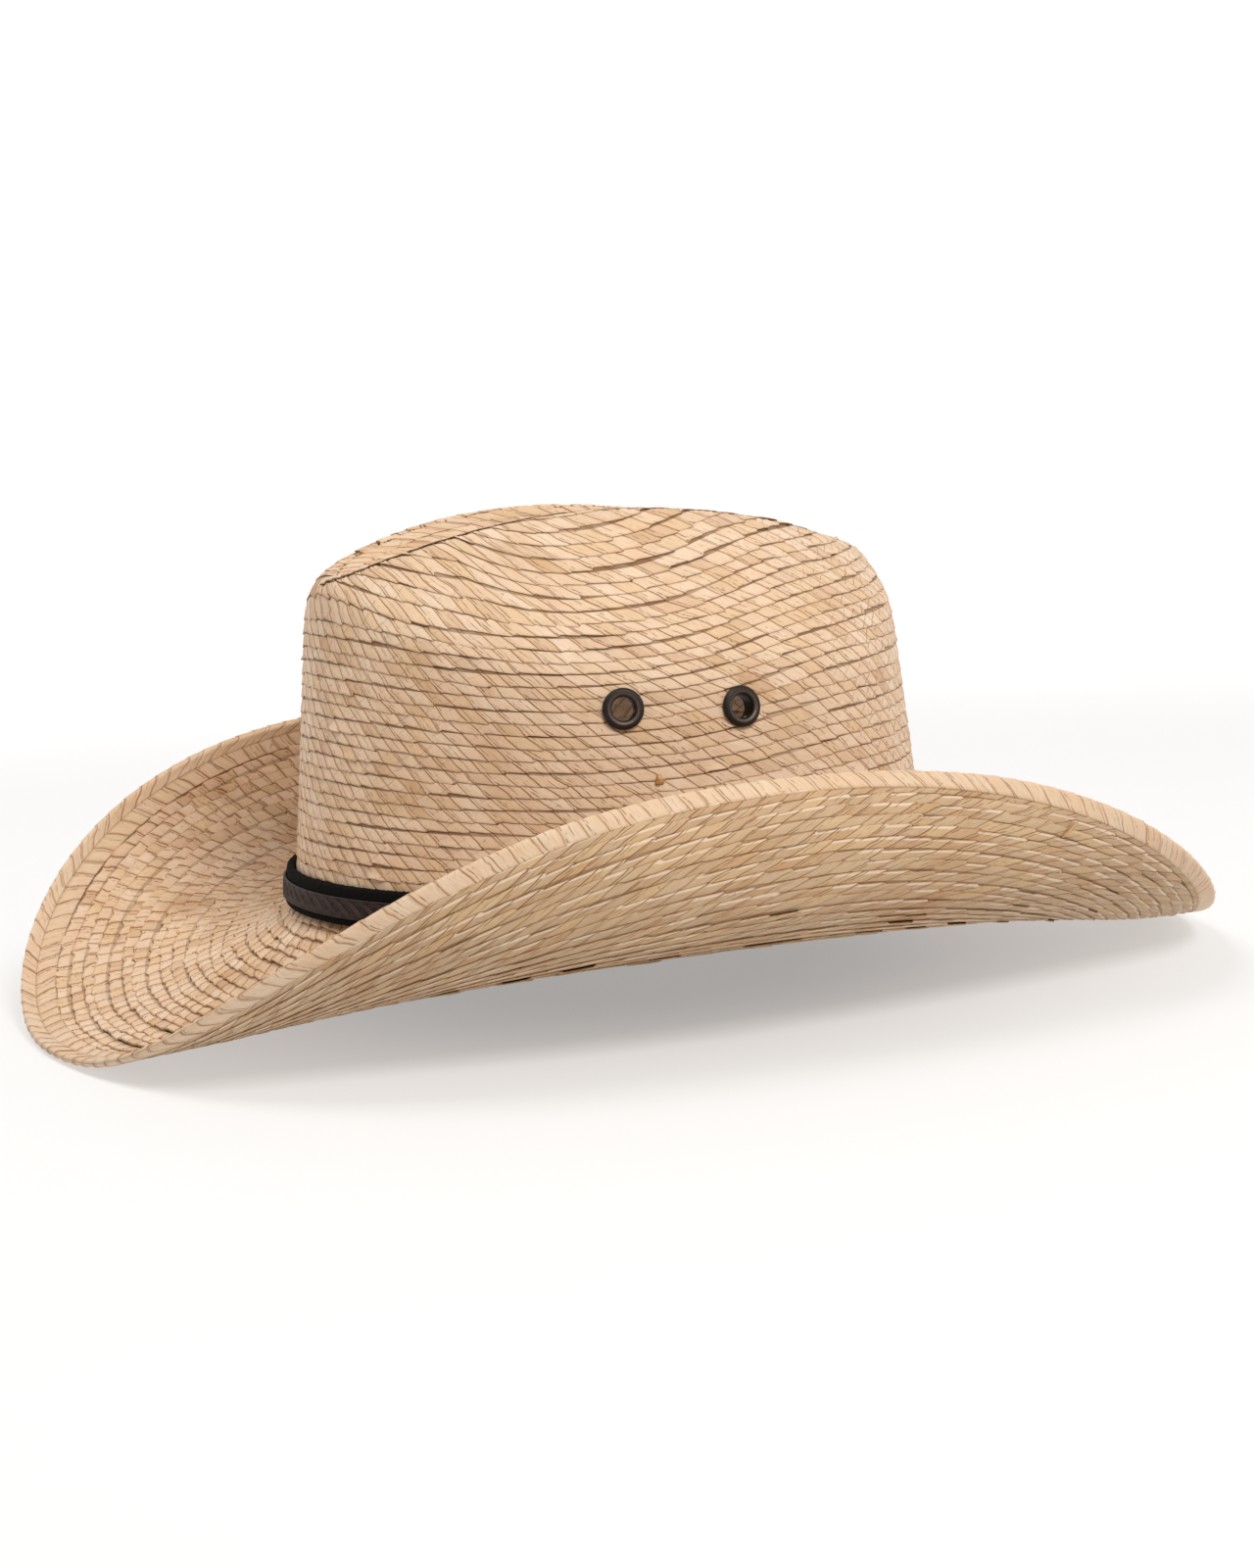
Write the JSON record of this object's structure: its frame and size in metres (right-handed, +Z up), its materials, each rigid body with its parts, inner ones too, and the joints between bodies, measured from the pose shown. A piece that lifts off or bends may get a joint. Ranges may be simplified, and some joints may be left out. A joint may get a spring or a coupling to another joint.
{
  "type": "western straw hat",
  "caption": "Western hat of sewn palm braid with a creased crown, side-curled wired brim, embossed hatband, sweatband and metal vent eyelets.",
  "frame": {"origin": "on the floor under the middle of the hat's bounding box, the hat standing on the front and back dips of its brim", "axes": "the wearer faces -Y, the wearer's left is +X, +Z is up; the long way of the hat is Y"},
  "size_m": [0.2812, 0.3726, 0.1448],
  "materials": {
    "palm_straw": "sewn rows of natural palm leaf braid, dry and slightly glossy",
    "edge_straw": "wider palm braid folded over the brim edge",
    "wire_steel": "plain round wire, hidden in the fold",
    "sweatband_cloth": "dark woven cloth tape",
    "bow_ribbon": "narrow satin ribbon",
    "band_black": "matte black felted band",
    "band_leather": "very dark brown leather, embossed",
    "eyelet_bronze": "antique dark bronze plating, satin"
  },
  "bodies": {
    "hat": {"crown_braid": "palm_straw", "brim_braid": "palm_straw", "brim_edge_braid": "edge_straw", "brim_edge_wire": "wire_steel", "sweatband": "sweatband_cloth", "sweatband_bow": "bow_ribbon", "eyelet_left_front": "eyelet_bronze", "eyelet_washer_left_front": "eyelet_bronze", "eyelet_left_back": "eyelet_bronze", "eyelet_washer_left_back": "eyelet_bronze", "eyelet_right_front": "eyelet_bronze", "eyelet_washer_right_front": "eyelet_bronze", "eyelet_right_back": "eyelet_bronze", "eyelet_washer_right_back": "eyelet_bronze"},
    "hatband": {"hatband_base": "band_black", "hatband_strip": "band_leather", "hatband_lap": "band_leather"}
  },
  "joints": [
    {"name": "hatband_lift", "type": "slide", "parent": "hat", "child": "hatband", "axis": [0, 0.0199, 0.9998], "range_m": [0, 0.13]}
  ]
}
